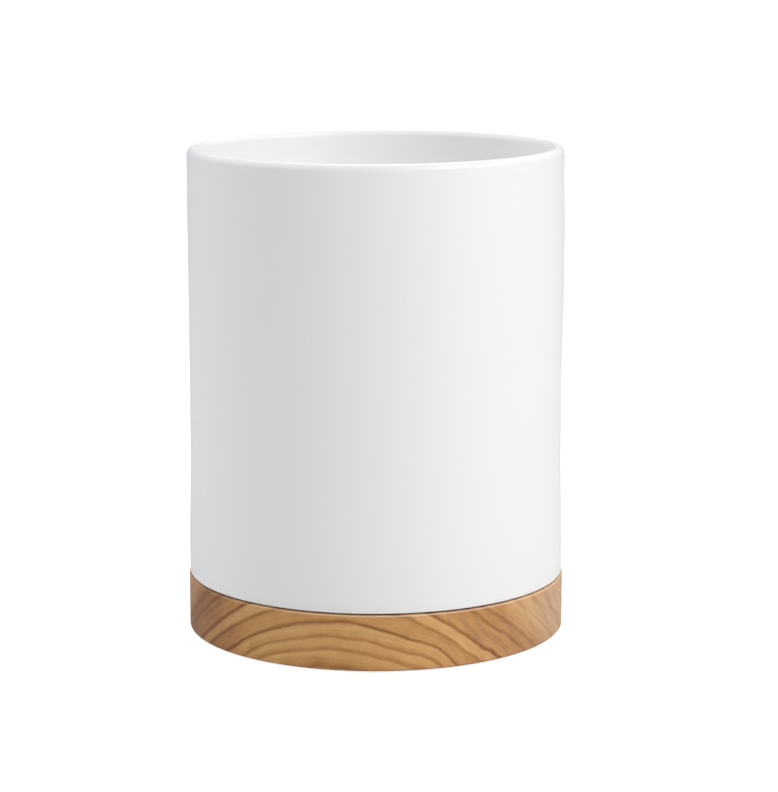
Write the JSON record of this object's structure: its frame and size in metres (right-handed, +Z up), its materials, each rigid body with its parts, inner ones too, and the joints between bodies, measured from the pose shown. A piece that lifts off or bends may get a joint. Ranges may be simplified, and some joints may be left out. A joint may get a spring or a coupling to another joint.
{
  "type": "pen holder cup",
  "caption": "Straight round white ceramic desk cup with a rounded lip, bonded into a turned olive wood disc base on silicone pads.",
  "frame": {"origin": "centre of the footprint, on the surface that the four foot pads stand on", "axes": "+Z up along the cup's axis of revolution; X and Y are level, and -Y is the side that the reference picture shows"},
  "size_m": [0.088, 0.088, 0.113],
  "materials": {
    "ceramic": "satin",
    "olive_wood": "satin",
    "adhesive": "satin",
    "pad": "matte"
  },
  "bodies": {
    "root": {"ceramic_cup": "ceramic", "wood_base": "olive_wood", "adhesive_ring": "adhesive", "foot_pad_1": "pad", "foot_pad_2": "pad", "foot_pad_3": "pad", "foot_pad_4": "pad"}
  },
  "joints": []
}
